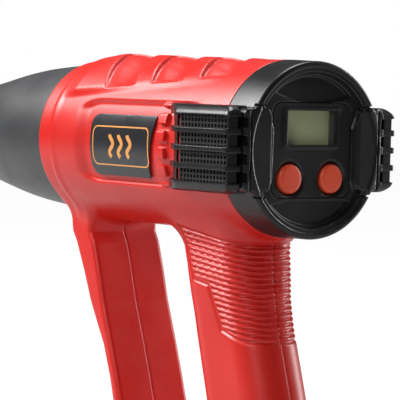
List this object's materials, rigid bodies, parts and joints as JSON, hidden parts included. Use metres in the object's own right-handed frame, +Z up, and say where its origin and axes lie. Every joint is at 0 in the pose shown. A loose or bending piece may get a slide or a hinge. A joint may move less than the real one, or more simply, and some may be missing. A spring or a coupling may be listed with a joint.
{
  "type": "heat gun",
  "caption": "Pistol-shaped electric hot air gun with a closed hand guard, rear display with two keys, side air intakes and a steel outlet nozzle.",
  "frame": {"origin": "centre of the tool's bounding box, on the surface that its feet stand on", "axes": "+Z up; the nozzle points to -X, the display faces +X; -Y is the tool's left side"},
  "size_m": [0.268, 0.096, 0.1996],
  "materials": {
    "red_shell": "moulded red plastic, satin",
    "black_plastic": "fine-textured black plastic",
    "shroud_black": "heat-resistant black plastic",
    "filter_black": "moulded mesh",
    "orange_button": "soft orange keys",
    "clear_lens": "clear acrylic lens",
    "lcd": "reflective display glass",
    "badge": "printed badge, blank",
    "steel": "bright steel",
    "nozzle_steel": "stainless tube",
    "motor_metal": "plated can",
    "aluminium": "extruded",
    "mica": "mica sheet",
    "circuit_board": "solder-masked board",
    "fan_plastic": "glass-filled nylon",
    "foot_rubber": "rubber"
  },
  "bodies": {
    "body": {"left_housing": "red_shell", "right_housing": "red_shell", "housing_screws": "steel", "rear_cap": "black_plastic", "control_panel": "black_plastic", "display_window": "clear_lens", "lcd_display": "lcd", "display_board": "circuit_board", "tact_switches": "black_plastic", "left_grille": "black_plastic", "right_grille": "black_plastic", "left_dust_filter": "filter_black", "right_dust_filter": "filter_black", "left_badge": "badge", "right_badge": "badge", "nozzle_shroud": "shroud_black", "nozzle_tube": "nozzle_steel", "mica_sleeve": "mica", "heater_core": "mica", "heater_coils": "steel", "heater_holder": "black_plastic", "fan_duct": "black_plastic", "motor_case": "motor_metal", "motor_mount": "black_plastic", "power_board": "circuit_board", "triac_heatsink": "aluminium", "switch_body": "black_plastic", "rocker_pin": "steel", "cord_clamp": "black_plastic", "thermocouple": "steel", "rubber_feet": "foot_rubber"},
    "minus_button": {"minus_button": "orange_button"},
    "plus_button": {"plus_button": "orange_button"},
    "rotor": {"motor_shaft": "steel", "fan_impeller": "fan_plastic"},
    "rocker": {"switch_rocker": "black_plastic"}
  },
  "joints": [
    {"name": "minus_press", "type": "slide", "parent": "body", "child": "minus_button", "axis": [-1, 0, 0], "range_m": [0, 0.0012], "stiffness_N_per_m": 300},
    {"name": "plus_press", "type": "slide", "parent": "body", "child": "plus_button", "axis": [-1, 0, 0], "range_m": [0, 0.0012], "stiffness_N_per_m": 300},
    {"name": "fan_spin", "type": "hinge", "parent": "body", "child": "rotor", "pos_m": [0.074, 0, 0.1594], "axis": [1, 0, 0], "continuous": true},
    {"name": "rocker_tilt", "type": "hinge", "parent": "body", "child": "rocker", "pos_m": [0.0696, 0, 0.0894], "axis": [0, 1, 0], "range_deg": [-9, 9]}
  ]
}
